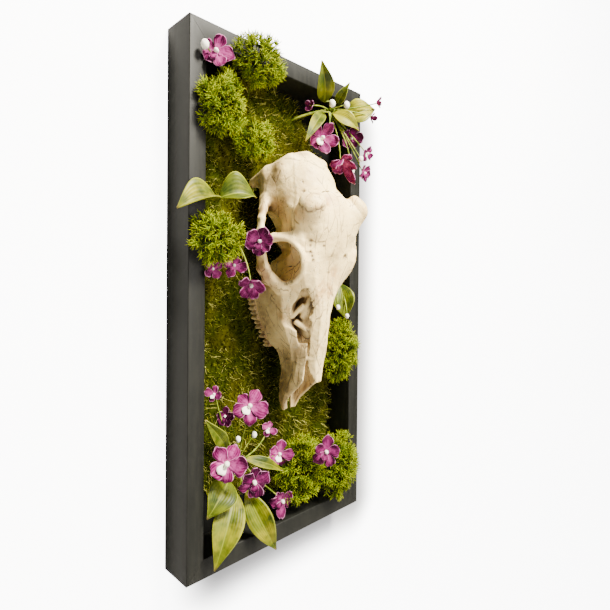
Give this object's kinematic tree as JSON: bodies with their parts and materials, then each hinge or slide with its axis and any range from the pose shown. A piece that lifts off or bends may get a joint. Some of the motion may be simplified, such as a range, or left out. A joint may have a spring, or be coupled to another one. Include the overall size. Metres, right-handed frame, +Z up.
{
  "type": "framed deer skull display",
  "caption": "Deer skull with shed antlers, nose down in a black shadow box frame lined with moss, artificial ferns, leaves and flowers.",
  "frame": {"origin": "middle of the frame's back face, where it lies against the wall", "axes": "+X to the viewer's right, +Y into the wall, +Z up along the frame's long side"},
  "size_m": [0.2536, 0.1158, 0.5091],
  "materials": {
    "bone": "dry ivory bone with tan stains",
    "frame": "satin black painted wood",
    "board": "matt black card",
    "moss": "dried olive moss with straw",
    "leaf": "printed cloth leaves and stems",
    "fern": "fine yellow-green sprigs",
    "petal": "magenta to pale pink cloth petals"
  },
  "bodies": {
    "root": {"frame_rail_left": "frame", "frame_rail_right": "frame", "frame_rail_top": "frame", "frame_rail_bottom": "frame", "back_board": "board", "moss_panel": "moss", "skull_braincase": "bone", "skull_frontal": "bone", "skull_zygomatic_left": "bone", "skull_zygomatic_right": "bone", "skull_maxilla_left": "bone", "skull_maxilla_right": "bone", "skull_nasal_left": "bone", "skull_nasal_right": "bone", "skull_premaxilla_left": "bone", "skull_premaxilla_right": "bone", "flower_top_left": "petal", "flower_top_right_1": "petal", "flower_top_right_2": "petal", "flower_top_right_3": "petal", "flower_top_right_4": "petal", "flower_top_right_5": "petal", "flower_middle_upper": "petal", "flower_middle_side": "petal", "flower_middle_inner": "petal", "flower_middle_lower": "petal", "flower_low_1": "petal", "flower_low_2": "petal", "flower_low_3": "petal", "flower_low_4": "petal", "flower_low_5": "petal", "flower_low_6": "petal", "flower_low_7": "petal", "flower_low_8": "petal", "flower_low_right": "petal", "spray_top_left": "leaf", "spray_top_right": "leaf", "spray_middle_left": "leaf", "spray_right": "leaf", "spray_low_left": "leaf", "fern_top_outer": "fern", "fern_top_left": "fern", "fern_top_inner": "fern", "fern_middle_left": "fern", "fern_right": "fern", "fern_low_right": "fern"}
  },
  "joints": []
}
